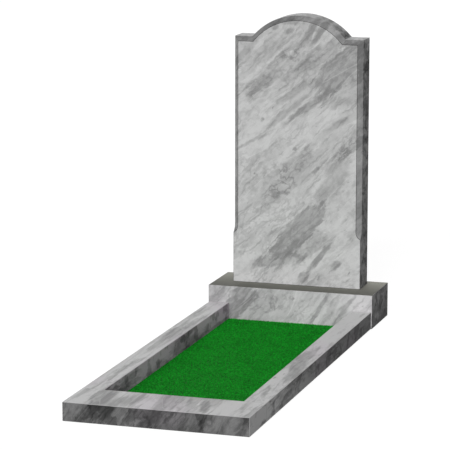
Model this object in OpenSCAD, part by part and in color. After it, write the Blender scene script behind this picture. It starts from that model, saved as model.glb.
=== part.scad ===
// Upright marble headstone on its plinth, with a kerbed bed of turf in front.
// Millimetres, +Z up. Origin: centre of the footprint, at ground level.
// X runs across the grave, and the headstone stands at the +Y end and faces -Y.

/* [Headstone] */
// Width of the headstone
stone_w = 390; // [325:1:480]
// Thickness of the headstone
stone_t = 85; // [60:1:110]
// Height from the plinth to the top of the arch
stone_h = 800; // [600:1:1000]
// Width of the arch where it rises from the shoulders
arch_w = 282; // [220:1:300]
// Rise of the arch above the shoulders
arch_rise = 65; // [50:1:100]

/* [Chamfer round the front face] */
// How far the chamfer comes in over the face
chamfer_in = 14; // [6:1:20]
// How far back the chamfer goes into the edge
chamfer_back = 16; // [6:1:25]
// Height where the straight chamfer ends and its rounded stop begins
stop_z = 170; // [80:1:250]
// Radius of the rounded stop on the face
stop_r = 24; // [22:1:34]

/* [Plinth] */
// Width of the plinth
plinth_w = 500; // [410:1:620]
// Depth of the plinth, front to back
plinth_d = 190; // [158:1:300]
// Height of the plinth
plinth_h = 100; // [60:1:200]
// Ledge in front of the headstone
front_ledge = 70; // [10:1:75]

/* [Kerb] */
// Length of the kerb in front of the plinth
kerb_l = 1200; // [900:5:1500]
// Height of the kerb
kerb_h = 50; // [40:1:100]
// Width of the two side bars
side_w = 60; // [40:1:90]
// Width of the front bar
front_w = 145; // [60:1:200]
// How far the side bars sit in from the ends of the plinth
kerb_inset = 3; // [0:0.5:10]

/* [Turf] */
// Thickness of the turf, with its pile
turf_t = 5; // [4:0.5:30]
// Gap between the turf and the stone round it
turf_gap = 0.5; // [0.3:0.1:5]

/* [Hidden] */
$fn = 96;

whole_l = kerb_l + plinth_d;
kerb_y = -whole_l / 2;
plinth_y = kerb_y + kerb_l;
bed_y = kerb_y + front_w;
kerb_x = plinth_w / 2 - kerb_inset;
bed_x = kerb_x - side_w;

shoulder_h = stone_h - arch_rise;
// Radius of the arc with that width and rise
arch_r = (pow(arch_w / 2, 2) + pow(arch_rise, 2)) / (2 * arch_rise);
arch_z = stone_h - arch_r;

marble = [0.68, 0.68, 0.68];
grass = [0.10, 0.44, 0.13];

// Extra length on every cutter, so that it passes through the face it cuts
past = 1;

// Lays a shape drawn in X and height on the XZ plane and gives it a depth in Y
module upright(depth) {
    translate([0, depth, 0])
        rotate([90, 0, 0])
            linear_extrude(depth)
                children();
}

// A disc whose axis runs front to back, with one radius in front and one behind
module front_to_back_cone(r_front, r_back, depth) {
    rotate([-90, 0, 0])
        cylinder(r1 = r_front, r2 = r_back, h = depth);
}

// The part of the upright outline that the arch fills, reaching down into the slab
module above_shoulders() {
    reach = chamfer_in + past;
    translate([-arch_w / 2, shoulder_h - reach])
        square([arch_w, arch_rise + reach]);
}

// Front layer of the slab, with the chamfer along its shoulders and round its arch
module chamfered_front() {
    translate([-stone_w / 2, 0, 0])
        rotate([90, 0, 90])
            linear_extrude(stone_w)
                polygon([
                    [0, 0],
                    [chamfer_back, 0],
                    [chamfer_back, shoulder_h],
                    [0, shoulder_h - chamfer_in],
                ]);
    intersection() {
        translate([0, 0, arch_z])
            front_to_back_cone(arch_r - chamfer_in, arch_r, chamfer_back);
        upright(chamfer_back)
            above_shoulders();
    }
}

// The plain slab behind the chamfer
module square_back() {
    translate([0, chamfer_back, 0])
        upright(stone_t - chamfer_back)
            union() {
                translate([-stone_w / 2, 0])
                    square([stone_w, shoulder_h]);
                intersection() {
                    translate([0, arch_z])
                        circle(r = arch_r);
                    above_shoulders();
                }
            }
}

// What the chamfer takes off the right-hand edge, ending in its rounded stop
module side_chamfer_cut() {
    face_x = stone_w / 2 - chamfer_in;
    slope = chamfer_in / chamfer_back;
    translate([0, 0, stop_z])
        linear_extrude(stone_h)
            polygon([
                [face_x - past * slope, -past],
                [stone_w / 2 + past * slope, chamfer_back + past],
                [stone_w / 2 + 2 * past, chamfer_back + past],
                [stone_w / 2 + 2 * past, -past],
            ]);
    translate([face_x + stop_r, -past, stop_z])
        front_to_back_cone(stop_r + past * slope, stop_r - chamfer_in, chamfer_back + past);
}

module headstone() {
    color(marble)
        translate([0, plinth_y + front_ledge, plinth_h])
            difference() {
                union() {
                    chamfered_front();
                    square_back();
                }
                side_chamfer_cut();
                mirror([1, 0, 0])
                    side_chamfer_cut();
            }
}

module plinth() {
    color(marble)
        translate([-plinth_w / 2, plinth_y, 0])
            cube([plinth_w, plinth_d, plinth_h]);
}

// The front bar runs the whole width, and the side bars butt against it
module kerb_front() {
    color(marble)
        translate([-kerb_x, kerb_y, 0])
            cube([2 * kerb_x, front_w, kerb_h]);
}

module kerb_right() {
    color(marble)
        translate([bed_x, bed_y, 0])
            cube([side_w, kerb_l - front_w, kerb_h]);
}

module kerb_left() {
    mirror([1, 0, 0])
        kerb_right();
}

module turf() {
    color(grass)
        translate([-bed_x + turf_gap, bed_y + turf_gap, 0])
            cube([2 * (bed_x - turf_gap), kerb_l - front_w - 2 * turf_gap, turf_t]);
}

headstone();
plinth();
kerb_front();
kerb_left();
kerb_right();
turf();
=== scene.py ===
import math
import random

import bmesh
import bpy
from mathutils import Matrix, Vector


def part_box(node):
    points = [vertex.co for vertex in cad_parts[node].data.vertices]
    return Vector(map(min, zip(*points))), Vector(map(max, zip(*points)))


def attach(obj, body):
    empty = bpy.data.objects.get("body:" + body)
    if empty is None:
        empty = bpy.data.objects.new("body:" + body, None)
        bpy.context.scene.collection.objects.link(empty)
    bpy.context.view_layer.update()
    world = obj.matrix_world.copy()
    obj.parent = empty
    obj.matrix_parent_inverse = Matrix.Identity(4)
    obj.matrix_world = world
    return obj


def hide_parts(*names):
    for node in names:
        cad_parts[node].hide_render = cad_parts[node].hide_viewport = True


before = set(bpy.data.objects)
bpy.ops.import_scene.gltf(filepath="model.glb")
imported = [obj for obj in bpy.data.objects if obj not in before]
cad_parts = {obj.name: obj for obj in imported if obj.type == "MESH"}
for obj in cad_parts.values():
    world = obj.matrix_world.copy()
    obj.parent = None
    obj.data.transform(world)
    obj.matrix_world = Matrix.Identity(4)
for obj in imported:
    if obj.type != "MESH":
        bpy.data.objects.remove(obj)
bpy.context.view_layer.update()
scene = bpy.context.scene


# ---------------------------------------------------------------------------
# Camera. A long lens, a little above and to the right of the grave, looking
# down the bed at the headstone.
# ---------------------------------------------------------------------------
lens_data = bpy.data.cameras.new("camera")
lens_data.lens = 197.7
lens_data.sensor_width = 36.0
lens_data.clip_end = 60.0
camera = bpy.data.objects.new("camera", lens_data)
camera.location = (1.971, -6.306, 1.678)
turned_right = 17.67
tipped_down = 11.04
camera.rotation_euler = (math.radians(90 - tipped_down), 0, math.radians(turned_right))
scene.collection.objects.link(camera)
scene.camera = camera


# ---------------------------------------------------------------------------
# The headstone: one slab of grey marble, polished on its face and back, honed
# on the chamfer round the face, and sawn on its sides and top. It stands on the
# plinth by its own weight, and every arris is eased with a stone.
# ---------------------------------------------------------------------------
def eased_copy(node, name, arris):
    """The block that the CAD node gives, with its flat faces whole and its edges rubbed down."""
    bm = bmesh.new()
    bm.from_mesh(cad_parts[node].data)
    bmesh.ops.remove_doubles(bm, verts=bm.verts, dist=1e-5)
    bmesh.ops.dissolve_limit(bm, verts=bm.verts, edges=bm.edges, angle_limit=math.radians(1))
    sharp = [e for e in bm.edges if e.calc_face_angle(0) > math.radians(20)]
    bmesh.ops.bevel(
        bm, geom=sharp, offset=arris, offset_type="OFFSET", affect="EDGES",
        segments=2, profile=0.5, material=-1, clamp_overlap=True,
    )
    for face in bm.faces:
        face.smooth = True
    mesh = bpy.data.meshes.new(name)
    bm.to_mesh(mesh)
    bm.free()
    block = bpy.data.objects.new(name, mesh)
    scene.collection.objects.link(block)
    flat = block.modifiers.new("flat faces", "WEIGHTED_NORMAL")
    flat.keep_sharp = True
    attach(block, "root")
    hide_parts(node)
    return block


class Nodes:
    """The nodes of a material, or of the world, with short ways to add and join them."""

    def __init__(self, owner, shader="Principled BSDF"):
        owner.use_nodes = True
        self.owner = owner
        self.tree = owner.node_tree
        self.shader = self.tree.nodes[shader]

    def feed(self, node, values):
        """Gives each named socket of the node its number, or the output that it reads."""
        for socket, value in values.items():
            if isinstance(value, bpy.types.NodeSocket):
                self.tree.links.new(value, node.inputs[socket])
            else:
                node.inputs[socket].default_value = value

    def add(self, kind, values=None, **settings):
        node = self.tree.nodes.new(kind)
        for key, value in settings.items():
            setattr(node, key, value)
        self.feed(node, values or {})
        return node

    def math(self, operation, a, b=0.0):
        return self.add("ShaderNodeMath", {0: a, 1: b}, operation=operation).outputs[0]

    def smooth(self, value, low, high, to_low=0.0, to_high=1.0):
        """value from low to high, eased at both ends, as to_low to to_high."""
        ranged = self.add(
            "ShaderNodeMapRange",
            {"Value": value, "From Min": low, "From Max": high, "To Min": to_low, "To Max": to_high},
            interpolation_type="SMOOTHSTEP",
        )
        return ranged.outputs["Result"]

    def blend(self, share, a, b):
        """a where share is 0, b where it is 1."""
        return self.add("ShaderNodeMix", {0: share, 2: a, 3: b}, data_type="FLOAT").outputs[0]

    def folded(self, point, scale, reach, detail=2.0):
        """point pushed about by soft waves, each up to half of reach, in metres."""
        wave = self.add(
            "ShaderNodeTexNoise", {"Vector": point, "Scale": scale, "Detail": detail, "Roughness": 0.6}
        ).outputs["Color"]
        push = self.add("ShaderNodeVectorMath", {0: wave, 1: (0.5, 0.5, 0.5)}, operation="SUBTRACT")
        push = self.add("ShaderNodeVectorMath", {0: push.outputs[0], "Scale": reach}, operation="SCALE")
        return self.add("ShaderNodeVectorMath", {0: point, 1: push.outputs[0]}, operation="ADD").outputs[0]

    def bedding(self, point, lean, size, detail=3.0, rough=0.5):
        """Noise with grains of that size in metres: along the bedding, through the piece, across it."""
        turned = self.add(
            "ShaderNodeMapping",
            {"Vector": point, "Rotation": (0, -math.radians(lean), 0), "Scale": size},
            vector_type="TEXTURE",
        ).outputs[0]
        return self.add(
            "ShaderNodeTexNoise", {"Vector": turned, "Scale": 1.0, "Detail": detail, "Roughness": rough}
        ).outputs["Fac"]


def marble(node, sawn_from, lean, veined, markings, grain=(1, 1, 1), lying=False):
    """Grey marble whose bedding leans up to the right. sawn_from is the piece's place in the block,
    and grain is how much finer the pattern is along X, Y and Z.
    A marking is (x, z, half length, half width, lean, depth, softness, crumbled), with x from the
    piece's middle and z from its foot. depth is its share of grey, softness that of its edge, and
    crumbled is 1 where only its crumbs show. On a lying piece the markings are on its top, with y
    from its front end in the place of z."""
    deepest_grey = 0.20
    pale_ground = 0.615
    n = Nodes(bpy.data.materials.new(node.replace("_", " ") + " marble"))
    place = n.add("ShaderNodeTexCoord").outputs["Object"]
    block = n.add(
        "ShaderNodeMapping", {"Vector": place, "Location": sawn_from, "Scale": grain}
    ).outputs[0]
    bent = n.folded(block, 4.0, 0.06)
    broken = n.folded(bent, 60.0, 0.016, 4.0)

    clouds = n.bedding(bent, lean - 4, (0.34, 0.20, 0.10), 5.0, 0.6)
    bands = n.bedding(broken, lean, (0.18, 0.12, 0.030), 4.0, 0.55)
    strokes = n.bedding(broken, lean + 3, (0.060, 0.040, 0.0085), 2.0)
    mottle = n.bedding(broken, lean, (0.021, 0.018, 0.013), 4.0, 0.6)
    crumbly = n.smooth(n.bedding(bent, lean, (0.16, 0.12, 0.08), 1.0), 0.48, 0.62)
    curls = n.math("ABSOLUTE", n.math("SUBTRACT", n.bedding(broken, lean, (0.034, 0.030, 0.022), 2.0), 0.5))
    curls = n.smooth(curls, 0.0, 0.07, 1.0, 0.0)
    spots = n.bedding(broken, lean + 10, (0.026, 0.024, 0.015), 1.0)
    crystals = n.bedding(place, 0, (0.0022, 0.0022, 0.0022), 1.0)

    # Each layer greys its share of the pale ground that the ones before it left
    in_bands = n.smooth(bands, 0.38, 0.56, 0.15, 1.0)
    in_clouds = n.smooth(clouds, 0.38, 0.58, 0.40, 1.0)
    layers = [
        n.smooth(clouds, 0.42, 0.62, 0.0, 0.32 * veined),
        n.smooth(bands, 0.48, 0.62, 0.0, 0.30 * veined),
        n.math("MULTIPLY", n.smooth(strokes, 0.54, 0.70, 0.0, 0.42), in_bands),
        n.math("MULTIPLY", n.smooth(mottle, 0.42, 0.66, 0.0, 0.30), in_clouds),
        n.math("MULTIPLY", curls, n.math("MULTIPLY", crumbly, 0.28)),
        n.smooth(spots, 0.71, 0.80, 0.0, 0.60),
        n.smooth(crystals, 0.35, 0.70, 0.0, 0.08),
    ]

    # The markings, with torn edges that follow the bands and strokes
    low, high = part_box(node)
    middle = (low.x + high.x) / 2
    right_through = 10.0
    ragged = n.folded(place, 45.0, 0.016, 4.0)
    torn = n.math("ADD", n.math("MULTIPLY", bands, 1.2), n.math("MULTIPLY", strokes, 0.5))
    torn = n.math("SUBTRACT", n.math("ADD", torn, n.math("MULTIPLY", mottle, 0.4)), 1.05)
    inner = n.smooth(n.math("ADD", mottle, strokes), 0.80, 1.15, 0.70, 1.0)
    for x, up, half_length, half_width, own_lean, depth, softness, crumbled in markings:
        turn = math.radians(own_lean)
        standing_place = {
            "Location": (middle + x, 0, low.z + up),
            "Rotation": (0, -turn, 0),
            "Scale": (half_length, right_through, half_width),
        }
        lying_place = {
            "Location": (middle + x, low.y + up, 0),
            "Rotation": (0, 0, turn),
            "Scale": (half_length, half_width, right_through),
        }
        local = n.add(
            "ShaderNodeMapping",
            {"Vector": ragged, **(lying_place if lying else standing_place)},
            vector_type="TEXTURE",
        ).outputs[0]
        reach = n.add("ShaderNodeVectorMath", {0: local}, operation="LENGTH").outputs["Value"]
        reach = n.math("SUBTRACT", reach, torn)
        inside = n.math("MULTIPLY", n.smooth(reach, 1 - softness, 1 + softness, depth, 0.0), inner)
        layers.append(n.math("MULTIPLY", inside, n.blend(crumbled, 1.0, curls)))

    pale = n.math("SUBTRACT", 1.0, layers[0])
    for layer in layers[1:]:
        pale = n.math("MULTIPLY", pale, n.math("SUBTRACT", 1.0, layer))
    tone = n.blend(pale, deepest_grey, pale_ground)

    # Thin pale threads along the bedding
    thread_level = 0.56
    thread = n.bedding(bent, lean - 2, (0.50, 0.15, 0.040), 0.0)
    off_thread = n.math("ABSOLUTE", n.math("SUBTRACT", thread, thread_level))
    on_thread = n.smooth(off_thread, 0.001, 0.009, 0.10, 0.0)
    threads = n.math("MULTIPLY", on_thread, n.smooth(clouds, 0.42, 0.55))
    return n, place, n.math("ADD", tone, threads)


def way_it_faces(n):
    """The share of each point that faces +X, +Y and +Z."""
    normal = n.add("ShaderNodeTexCoord").outputs["Normal"]
    return n.add("ShaderNodeSeparateXYZ", {0: normal}).outputs


def sawn_grey_and_shade(n, place, tone, strength, contrast=2.6):
    """The deeper, more broken grey of the sawn faces, with dark blotches: partly the sawn finish and partly
    painted shade.
    """
    blotches = n.bedding(n.folded(place, 40.0, 0.02), 60, (0.060, 0.060, 0.034), 3.0)
    deep = n.math("MULTIPLY", n.math("POWER", tone, contrast), n.smooth(blotches, 0.51, 0.60, 1.0, 0.56))
    return n.math("MULTIPLY", deep, strength)


def colour_stone(n, tone, sawn, less_green=0.0, less_blue=0.0):
    """Turns the tone into the stone's colour. sawn is the share that isn't polished."""
    darkest = 0.02
    palest = 0.60
    polished_roughness = 0.42
    sawn_roughness = 0.80
    kept = n.add("ShaderNodeClamp", {"Value": tone, "Min": darkest, "Max": palest}).outputs[0]
    green = n.math("MULTIPLY", kept, n.math("SUBTRACT", 1.0, less_green))
    blue = n.math("MULTIPLY", kept, n.math("SUBTRACT", 1.0, less_blue))
    n.feed(n.shader, {
        "Base Color": n.add("ShaderNodeCombineColor", {0: kept, 1: green, 2: blue}).outputs[0],
        "Roughness": n.blend(sawn, polished_roughness, sawn_roughness),
        "Specular IOR Level": 0.12,
    })
    return n.owner


headstone = eased_copy("headstone", "headstone_slab", arris=0.0014)
headstone_markings = [
    # The dark patch low on the face, with its tail and the softer band above it
    (0.010, 0.168, 0.118, 0.037, 46, 0.66, 0.10, 0.0),
    (0.022, 0.118, 0.088, 0.034, 38, 0.52, 0.22, 0.3),
    (-0.070, 0.074, 0.060, 0.018, 20, 0.62, 0.22, 0.0),
    (0.112, 0.318, 0.092, 0.030, 55, 0.42, 0.22, 0.0),
    # The short dark vein beside it, and a spot
    (0.066, 0.082, 0.074, 0.009, 54, 0.66, 0.35, 0.0),
    (0.022, 0.028, 0.022, 0.013, 50, 0.60, 0.30, 0.0),
    (0.121, 0.069, 0.016, 0.010, 45, 0.62, 0.40, 0.0),
    (0.005, 0.088, 0.024, 0.008, -15, 0.50, 0.40, 0.0),
    # Crumbs in the middle, left and right
    (-0.030, 0.312, 0.115, 0.062, 30, 0.26, 0.45, 0.0),
    (-0.058, 0.318, 0.055, 0.046, 20, 0.62, 0.30, 1.0),
    (-0.066, 0.272, 0.016, 0.009, -30, 0.62, 0.40, 0.0),
    (-0.036, 0.276, 0.020, 0.005, 0, 0.58, 0.40, 0.0),
    (0.022, 0.378, 0.048, 0.018, 62, 0.58, 0.30, 0.6),
    (0.059, 0.349, 0.013, 0.007, 60, 0.62, 0.40, 0.0),
    (0.165, 0.424, 0.048, 0.017, 38, 0.72, 0.25, 0.4),
    (0.120, 0.380, 0.060, 0.017, 47, 0.50, 0.35, 0.5),
    (0.126, 0.490, 0.028, 0.008, 38, 0.45, 0.50, 0.0),
    # Long streaks across the upper half
    (0.045, 0.545, 0.095, 0.010, 34, 0.60, 0.40, 0.0),
    (-0.035, 0.512, 0.090, 0.010, 36, 0.48, 0.45, 0.0),
    (-0.020, 0.568, 0.085, 0.010, 38, 0.42, 0.45, 0.2),
    (-0.140, 0.425, 0.075, 0.005, 29, 0.45, 0.50, 0.0),
    (-0.045, 0.640, 0.118, 0.038, 32, 0.56, 0.28, 0.35),
    (-0.118, 0.585, 0.052, 0.020, 52, 0.52, 0.30, 0.2),
    (0.014, 0.664, 0.042, 0.007, 42, 0.60, 0.35, 0.0),
    (0.138, 0.650, 0.098, 0.046, 44, 0.64, 0.18, 0.0),
    (0.082, 0.698, 0.085, 0.025, 36, 0.46, 0.30, 0.25),
    (0.150, 0.580, 0.075, 0.028, 30, 0.36, 0.35, 0.0),
    (-0.158, 0.692, 0.060, 0.010, 46, 0.52, 0.40, 0.0),
    (-0.102, 0.688, 0.075, 0.027, 36, 0.36, 0.35, 0.2),
    (-0.020, 0.690, 0.030, 0.018, 30, 0.55, 0.35, 0.9),
    # Dark streaks and spots under the arch
    (0.038, 0.755, 0.052, 0.011, 62, 0.64, 0.28, 0.0),
    (0.068, 0.757, 0.042, 0.009, 58, 0.54, 0.32, 0.0),
    (-0.024, 0.755, 0.014, 0.008, 30, 0.58, 0.40, 0.0),
    (-0.069, 0.766, 0.010, 0.007, 30, 0.55, 0.40, 0.0),
    (-0.020, 0.781, 0.032, 0.007, 0, 0.45, 0.45, 0.0),
]
n, place, tone = marble("headstone", (-1.2, -2.8, 2.2), 42, 0.62, headstone_markings)
faces_x, faces_y, faces_z = way_it_faces(n)
to_side = n.smooth(n.math("ABSOLUTE", faces_x), 0.15, 0.80)
to_front = n.math("MULTIPLY", faces_y, -1.0)
on_chamfer = n.math("MULTIPLY", n.smooth(to_front, 0.35, 0.5), n.smooth(to_front, 0.78, 0.85, 1.0, 0.0))
on_shade_line = n.math("MULTIPLY", n.smooth(to_front, 0.74, 0.82), n.smooth(to_front, 0.95, 0.985, 1.0, 0.0))

# The sides, which are darker than the face, partly as painted shade, and paler in a band at the top
side_strength = 1.55
band_strength = 3.4
slab_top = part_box("headstone")[1].z
band_from = slab_top - 0.14
band_to = slab_top - 0.115
upright_side = n.smooth(n.math("ABSOLUTE", faces_x), 0.85, 0.95)
height = n.add("ShaderNodeSeparateXYZ", {0: n.folded(place, 30.0, 0.05)}).outputs[2]
paler_top = n.math("MULTIPLY", n.smooth(height, band_from, band_to, 0.0, band_strength), upright_side)
side_tone = sawn_grey_and_shade(n, place, tone, n.math("ADD", paler_top, side_strength))

# The chamfer, which is even in tone, with painted shade that darkens it where it faces up, most of all left
# of the crown
honed_ground = 0.12
honed = n.math("ADD", n.math("MULTIPLY", tone, 0.22), n.math("MULTIPLY", side_tone, 0.40))
painted_shade_facing_up = n.smooth(faces_x, -0.10, 0.20, 0.54, 0.92)
honed = n.math("MULTIPLY", n.math("ADD", honed, honed_ground), n.smooth(faces_z, 0.0, 0.7, 1.0, painted_shade_facing_up))

# The arris between face and chamfer, painted dark as a thin line of shade
shade_line_tone = 0.035
tone_here = n.blend(to_side, tone, side_tone)
tone_here = n.blend(on_chamfer, tone_here, honed)
tone_here = n.blend(on_shade_line, tone_here, shade_line_tone)
sawn = n.math("MAXIMUM", n.math("MAXIMUM", to_side, on_chamfer), n.smooth(faces_z, 0.3, 0.8))
headstone.data.materials.append(colour_stone(n, tone_here, sawn))


# ---------------------------------------------------------------------------
# The plinth: a low block of the same marble that the slab stands on. Its front
# and back are polished, its ends are sawn, and its top is rough and dusty, with a painted shadow that
# darkens it towards the front.
# ---------------------------------------------------------------------------
plinth = eased_copy("plinth", "plinth_block", arris=0.001)
plinth_markings = [
    (-0.156, 0.060, 0.066, 0.034, 50, 0.76, 0.12, 0.0),
    (-0.085, 0.060, 0.060, 0.022, 42, 0.40, 0.30, 0.8),
    (-0.030, 0.060, 0.055, 0.024, 30, 0.48, 0.30, 0.8),
    (0.090, 0.050, 0.075, 0.006, 60, 0.55, 0.40, 0.0),
    (0.126, 0.050, 0.075, 0.009, 58, 0.45, 0.40, 0.3),
    (0.170, 0.055, 0.070, 0.007, 57, 0.55, 0.40, 0.0),
    (-0.228, 0.070, 0.050, 0.012, 45, 0.45, 0.40, 0.0),
]
n, place, tone = marble("plinth", (1.3, 0.4, -0.7), 50, 0.9, plinth_markings)
faces_x, faces_y, faces_z = way_it_faces(n)
low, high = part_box("plinth")
from_front = n.add("ShaderNodeSeparateXYZ", {0: place}).outputs[1]
shadowed_grey_at_front = 0.105
unshadowed_grey_at_back = 0.30
# Painted shadow: the top is darker towards the front
painted_shadow_on_top = n.smooth(from_front, low.y, high.y, shadowed_grey_at_front, unshadowed_grey_at_back)
painted_shadow_on_top = n.math("ADD", painted_shadow_on_top, n.math("MULTIPLY", tone, 0.06))
on_top = n.smooth(faces_z, 0.8, 0.95)
to_side = n.smooth(n.math("ABSOLUTE", faces_x), 0.45, 0.95)
# The sawn ends are darker, partly as painted shade
end_strength = 1.5
tone_here = n.blend(to_side, tone, sawn_grey_and_shade(n, place, tone, end_strength))
tone_here = n.blend(on_top, tone_here, painted_shadow_on_top)
sawn = n.math("MAXIMUM", to_side, on_top)
dusty = n.math("MULTIPLY", on_top, 0.12)
# Less green on the face over the bed, painted to cancel the green light bounced off the grass
less_green_against_bounce = n.smooth(n.math("MULTIPLY", faces_y, -1.0), 0.45, 0.95, 0.0, 0.015)
plinth.data.materials.append(colour_stone(n, tone_here, sawn, less_green=less_green_against_bounce, less_blue=dusty))


# ---------------------------------------------------------------------------
# The kerb: two long bars and a wide front bar of the same marble, bedded on the
# ground and butted together round the bed. Their tops are rubbed smooth, and
# their sides and ends are left as sawn.
# ---------------------------------------------------------------------------
def painted_edge_highlight(n, faces_x, faces_y, faces_z):
    """1 on the rubbed edges, which are painted pale as a highlight, and 0 on the flat faces."""
    squarely = n.math("MAXIMUM", n.math("ABSOLUTE", faces_x), n.math("ABSOLUTE", faces_y))
    squarely = n.math("MAXIMUM", squarely, n.math("ABSOLUTE", faces_z))
    return n.smooth(squarely, 0.86, 0.97, 1.0, 0.0)


front_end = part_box("kerb_front")[0].y
bed_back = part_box("kerb_right")[1].y
drawn_out_along_y = (1.4, 0.35, 1.2)
end_strength = 0.50
edge_highlight_tone = 0.45
sawn_top = 0.7
sawn_contrast = 1.7
front_markings = [
    (-0.168, 0.080, 0.075, 0.028, 97, 0.68, 0.22, 0.0),
    (-0.100, 0.055, 0.060, 0.028, 80, 0.40, 0.35, 0.5),
    (0.111, 0.065, 0.060, 0.013, 104, 0.75, 0.28, 0.0),
    (0.060, 0.095, 0.050, 0.008, 100, 0.45, 0.40, 0.0),
    (0.205, 0.095, 0.040, 0.010, 95, 0.45, 0.40, 0.5),
]
left_markings = [
    (0.002, 0.250, 0.100, 0.012, 84, 0.50, 0.35, 0.3),
    (-0.005, 0.530, 0.140, 0.009, 93, 0.50, 0.40, 0.0),
    (0.012, 0.800, 0.120, 0.010, 87, 0.45, 0.40, 0.4),
]
right_markings = [
    (-0.009, 0.490, 0.130, 0.017, 86, 0.55, 0.25, 0.0),
    (0.011, 0.325, 0.115, 0.017, 94, 0.60, 0.22, 0.0),
    (-0.003, 0.110, 0.060, 0.007, 98, 0.50, 0.35, 0.3),
    (0.008, 0.810, 0.090, 0.006, 88, 0.40, 0.40, 0.5),
]
for node, name, sawn_from, veined, markings, top_strength, side_strengths in [
    ("kerb_front", "kerb_front_bar", (1.96, 0.9, 0.3), 1.4, front_markings, 1.08, (0.50, 2.6)),
    # The left bar's sawn faces are painted paler: painted light on its face over the bed, which the lamps
    # leave in shade
    ("kerb_left", "kerb_left_bar", (-1.2, 1.9, 0.8), 1.5, left_markings, 1.04, (1.80, 1.9)),
    ("kerb_right", "kerb_right_bar", (0.4, -2.3, 1.4), 0.5, right_markings, 1.15, (0.50, 2.8)),
]:
    bar = eased_copy(node, name, arris=0.0014)
    n, place, tone = marble(node, sawn_from, 50, veined, markings, drawn_out_along_y, lying=True)
    faces_x, faces_y, faces_z = way_it_faces(n)
    to_side = n.smooth(n.math("ABSOLUTE", faces_x), 0.45, 0.95)
    to_end = n.smooth(n.math("ABSOLUTE", faces_y), 0.45, 0.95)
    along = n.add("ShaderNodeSeparateXYZ", {0: place}).outputs[1]
    nearness = n.math("DIVIDE", n.math("SUBTRACT", bed_back, along), bed_back - front_end)
    strength = n.blend(n.math("POWER", nearness, 3.0), *side_strengths)
    tone_here = n.math("MULTIPLY", tone, top_strength)
    tone_here = n.blend(to_side, tone_here, sawn_grey_and_shade(n, place, tone, strength, sawn_contrast))
    tone_here = n.blend(to_end, tone_here, sawn_grey_and_shade(n, place, tone, end_strength, sawn_contrast))
    # The rubbed edges get a painted highlight
    tone_here = n.blend(painted_edge_highlight(n, faces_x, faces_y, faces_z), tone_here, edge_highlight_tone)
    # A faint violet flush in clouds, and more of it on the left bar's face over the bed, painted there to
    # cancel the green light that the grass bounces onto it
    flushed = n.smooth(n.bedding(place, 50, (0.20, 0.34, 0.20), 1.0), 0.46, 0.60, 0.0, 0.035)
    less_green_against_bounce = n.smooth(faces_x, 0.45, 0.95, 0.0, 0.13) if node == "kerb_left" else 0.0
    less_green = n.math("ADD", flushed, less_green_against_bounce)
    sawn = n.math("MAXIMUM", n.math("MAXIMUM", to_side, to_end), sawn_top)
    bar.data.materials.append(colour_stone(n, tone_here, sawn, less_green=less_green))


# ---------------------------------------------------------------------------
# The turf: short grass that fills the bed, laid on the ground in small sods.
# Their blades stand in one thin mat of soil and roots.
# ---------------------------------------------------------------------------
low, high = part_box("turf")
sods_across = 7
sods_along = 20
sod_x = (high.x - low.x) / sods_across
sod_y = (high.y - low.y) / sods_along
sod_kinds = 6
blades_across = 18
mat_top = 0.0015
chance = random.Random(7)


def sod():
    """The blades of one sod, centred on the origin, with their roots just under the top of the mat."""
    bm = bmesh.new()
    step_x = sod_x / blades_across
    step_y = sod_y / blades_across
    blade_r = 0.0010
    shortest = 0.0032
    tallest = 0.0052
    root_depth = 0.0006
    for i in range(blades_across):
        for j in range(blades_across):
            x = (i + chance.uniform(-0.4, 1.4)) * step_x - sod_x / 2
            y = (j + chance.uniform(-0.4, 1.4)) * step_y - sod_y / 2
            tall = chance.uniform(shortest, tallest)
            lean = Matrix.Rotation(chance.uniform(0.1, 0.8), 4, "X")
            turn = Matrix.Rotation(chance.uniform(0, 2 * math.pi), 4, "Z")
            root = Matrix.Translation((x, y, mat_top - root_depth))
            grown = root @ turn @ lean @ Matrix.Translation((0, 0, tall / 2))
            bmesh.ops.create_cone(
                bm, cap_ends=True, cap_tris=False, segments=3,
                radius1=blade_r, radius2=0, depth=tall, matrix=grown,
            )
    mesh = bpy.data.meshes.new("sod")
    bm.to_mesh(mesh)
    bm.free()
    return mesh


sods = [sod() for _ in range(sod_kinds)]
bm = bmesh.new()
mat_size = Vector((high.x - low.x, high.y - low.y, mat_top))
mat_place = Matrix.Translation(((low.x + high.x) / 2, (low.y + high.y) / 2, mat_top / 2))
bmesh.ops.create_cube(bm, size=1, matrix=mat_place @ Matrix.Diagonal((*mat_size, 1)))
for i in range(sods_across):
    for j in range(sods_along):
        laid = chance.choice(sods).copy()
        centre = (low.x + (i + 0.5) * sod_x, low.y + (j + 0.5) * sod_y, 0)
        turned = Matrix.Rotation(math.pi * chance.randrange(2), 4, "Z")
        laid.transform(Matrix.Translation(centre) @ turned)
        bm.from_mesh(laid)
        bpy.data.meshes.remove(laid)
# A blade that would reach past the bed's edge is left out whole
past_edge = [v for v in bm.verts if not (low.x <= v.co.x <= high.x and low.y <= v.co.y <= high.y)]
whole_blades = {corner for v in past_edge for face in v.link_faces for corner in face.verts}
bmesh.ops.delete(bm, geom=list(whole_blades), context="VERTS")
mesh = bpy.data.meshes.new("turf_bed")
bm.to_mesh(mesh)
bm.free()
turf = bpy.data.objects.new("turf_bed", mesh)
scene.collection.objects.link(turf)
for spare in sods:
    bpy.data.meshes.remove(spare)
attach(turf, "root")
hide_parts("turf")

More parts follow.
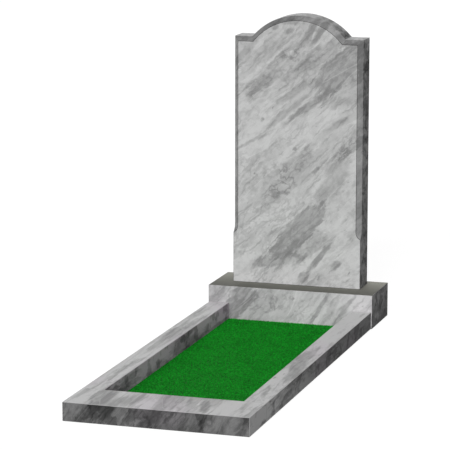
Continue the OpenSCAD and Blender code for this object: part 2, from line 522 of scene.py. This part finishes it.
n = Nodes(bpy.data.materials.new("grass"))
blade_green = (0.010, 0.36, 0.022, 1.0)
place = n.add("ShaderNodeTexCoord").outputs["Object"]
tufts = n.add(
    "ShaderNodeTexNoise", {"Vector": place, "Scale": 190.0, "Detail": 3.0, "Roughness": 0.6}
).outputs["Fac"]
swathes = n.add("ShaderNodeTexNoise", {"Vector": place, "Scale": 9.0, "Detail": 2.0}).outputs["Fac"]
height = n.add("ShaderNodeSeparateXYZ", {0: place}).outputs[2]
# The blades are painted darker towards their roots, as painted shade down in the sward
bases_in_painted_shade = n.smooth(height, 0.0008, 0.0046, 0.45, 1.0)
uneven_tufts = n.smooth(tufts, 0.36, 0.64, 0.46, 1.42)
broad_swathes = n.smooth(swathes, 0.3, 0.7, 0.92, 1.06)
lit = n.math("MULTIPLY", n.math("MULTIPLY", bases_in_painted_shade, uneven_tufts), broad_swathes)
green = n.add(
    "ShaderNodeMix", {0: 1.0, 6: blade_green, 7: lit}, data_type="RGBA", blend_type="MULTIPLY"
).outputs[2]
n.feed(n.shader, {"Base Color": green, "Roughness": 0.75, "Specular IOR Level": 0.08})
turf.data.materials.append(n.owner)


# ---------------------------------------------------------------------------
# Floor and light: a white studio floor that keeps the soft shadow, a broad
# key from in front, a weak fill from behind, and an even light all round.
# ---------------------------------------------------------------------------
bm = bmesh.new()
bmesh.ops.create_grid(bm, x_segments=1, y_segments=1, size=20)
mesh = bpy.data.meshes.new("studio_floor")
bm.to_mesh(mesh)
bm.free()
floor = bpy.data.objects.new("studio_floor", mesh)
scene.collection.objects.link(floor)


def seen_directly(n):
    """1 for what the camera sees, straight or in a polished face, and 0 for what lights the stone."""
    path = n.add("ShaderNodeLightPath")
    seen = n.math("MAXIMUM", path.outputs["Is Camera Ray"], path.outputs["Is Glossy Ray"])
    return n.math("MAXIMUM", seen, path.outputs["Is Transmission Ray"])


n = Nodes(bpy.data.materials.new("white floor"))
floor_glow = 0.90
n.feed(n.shader, {
    "Base Color": (0.20, 0.20, 0.20, 1),
    "Roughness": 0.9,
    "Specular IOR Level": 0.0,
    "Emission Color": (1, 1, 1, 1),
    "Emission Strength": n.math("MULTIPLY", seen_directly(n), floor_glow),
})
floor.data.materials.append(n.owner)

world = bpy.data.worlds.new("studio")
scene.world = world
n = Nodes(world, "Background")
light_all_round = 0.34
white_background = 1.0
strength = n.blend(seen_directly(n), light_all_round, white_background)
n.feed(n.shader, {"Color": (1, 1, 1, 1), "Strength": strength})

key_data = bpy.data.lights.new("key", "SUN")
key_data.energy = 2.42
key_data.angle = math.radians(24)
key = bpy.data.objects.new("key", key_data)
key.rotation_euler = Vector((0.04, -0.82, 0.43)).to_track_quat("Z", "Y").to_euler()
scene.collection.objects.link(key)

fill_data = bpy.data.lights.new("fill", "SUN")
fill_data.energy = 1.0
fill_data.angle = math.radians(60)
fill = bpy.data.objects.new("fill", fill_data)
fill.rotation_euler = Vector((-0.50, 0.80, 0.08)).to_track_quat("Z", "Y").to_euler()
scene.collection.objects.link(fill)

scene.view_settings.view_transform = "Standard"
